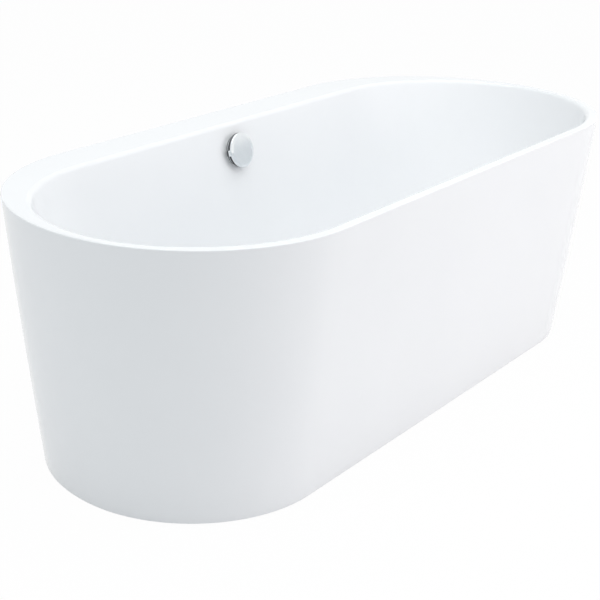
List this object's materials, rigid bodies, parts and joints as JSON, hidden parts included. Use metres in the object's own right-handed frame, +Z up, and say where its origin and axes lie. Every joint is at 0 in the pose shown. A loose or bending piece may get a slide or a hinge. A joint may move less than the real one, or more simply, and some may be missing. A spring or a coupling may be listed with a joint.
{
  "type": "freestanding bathtub",
  "caption": "Freestanding double-ended oval bathtub with a tapering one-piece skirt, flat rim, deck ledge at the back, turn-knob overflow with pop-up waste, and levelling feet.",
  "frame": {"origin": "on the floor, under the middle of the rim's length and width", "axes": "+X along the bath, +Y towards the back long side with the ledge and the knob, +Z up"},
  "size_m": [1.6992, 0.7492, 0.56],
  "materials": {
    "basin_acrylic": "polished white sanitary acrylic",
    "skirt_acrylic": "polished white sanitary acrylic",
    "chromed_brass": "polished chrome plate",
    "plain_brass": "turned brass",
    "frame_steel": "grey powder coat",
    "zinc_steel": "bright zinc plate",
    "foot_plastic": "black moulded nylon",
    "board_wood": "raw particle board",
    "seal_rubber": "soft black rubber",
    "waste_plastic": "white polypropylene",
    "nut_plastic": "dark grey polypropylene",
    "lever_plastic": "natural acetal",
    "hose_plastic": "grey flexible hose",
    "cable_sheath": "black sheath"
  },
  "bodies": {
    "bath": {"basin_shell": "basin_acrylic", "outer_skirt": "skirt_acrylic", "base_board": "board_wood", "long_rail_front": "frame_steel", "long_rail_back": "frame_steel", "cross_rail_left": "frame_steel", "cross_rail_right": "frame_steel", "board_screws": "zinc_steel", "skirt_brackets": "frame_steel", "bracket_screws": "zinc_steel", "foot_weld_nuts": "zinc_steel", "foot_lock_nuts": "zinc_steel", "waste_flange": "chromed_brass", "waste_upper_seal": "seal_rubber", "waste_lower_seal": "seal_rubber", "waste_body": "waste_plastic", "lever_pin": "zinc_steel", "trap_inlet_nut": "nut_plastic", "trap_head": "waste_plastic", "trap_seal": "seal_rubber", "trap_bowl": "waste_plastic", "outlet_nut": "nut_plastic", "outlet_elbow": "waste_plastic", "overflow_flange": "chromed_brass", "overflow_inner_seal": "seal_rubber", "overflow_outer_seal": "seal_rubber", "overflow_body": "waste_plastic", "drive_cover": "waste_plastic", "overflow_hose": "hose_plastic", "hose_upper_nut": "nut_plastic", "hose_lower_nut": "nut_plastic", "control_cable": "cable_sheath", "cable_clip": "nut_plastic"},
    "knob": {"overflow_knob": "chromed_brass", "knob_carrier": "foot_plastic", "knob_grub_screw": "zinc_steel", "knob_spindle": "plain_brass", "cable_drum": "lever_plastic"},
    "plug": {"drain_plug": "chromed_brass", "plug_seal": "seal_rubber", "plug_stem": "plain_brass"},
    "lever": {"lift_lever": "lever_plastic"},
    "foot_front_left": {"foot_stud_front_left": "zinc_steel", "foot_pad_front_left": "foot_plastic"},
    "foot_front_right": {"foot_stud_front_right": "zinc_steel", "foot_pad_front_right": "foot_plastic"},
    "foot_back_left": {"foot_stud_back_left": "zinc_steel", "foot_pad_back_left": "foot_plastic"},
    "foot_back_right": {"foot_stud_back_right": "zinc_steel", "foot_pad_back_right": "foot_plastic"}
  },
  "joints": [
    {"name": "knob_turn", "type": "hinge", "parent": "bath", "child": "knob", "pos_m": [0, 0.26094, 0.496], "axis": [0, 0.9734, -0.229], "range_deg": [0, 90]},
    {"name": "plug_lift", "type": "slide", "parent": "bath", "child": "plug", "axis": [0, 0, 1], "range_m": [0, 0.009]},
    {"name": "lever_turn", "type": "hinge", "parent": "bath", "child": "lever", "pos_m": [-0.018, -0.037, 0.068], "axis": [0, -1, 0], "range_deg": [0, 30]},
    {"name": "foot_front_left_level", "type": "slide", "parent": "bath", "child": "foot_front_left", "axis": [0, 0, -1], "range_m": [-0.003, 0.02]},
    {"name": "foot_front_right_level", "type": "slide", "parent": "bath", "child": "foot_front_right", "axis": [0, 0, -1], "range_m": [-0.003, 0.02]},
    {"name": "foot_back_left_level", "type": "slide", "parent": "bath", "child": "foot_back_left", "axis": [0, 0, -1], "range_m": [-0.003, 0.02]},
    {"name": "foot_back_right_level", "type": "slide", "parent": "bath", "child": "foot_back_right", "axis": [0, 0, -1], "range_m": [-0.003, 0.02]}
  ],
  "couplings": [
    {"joint": "plug_lift", "follows": "knob_turn", "m_per_rad": 0.0057},
    {"joint": "lever_turn", "follows": "knob_turn", "ratio": 0.3314}
  ]
}
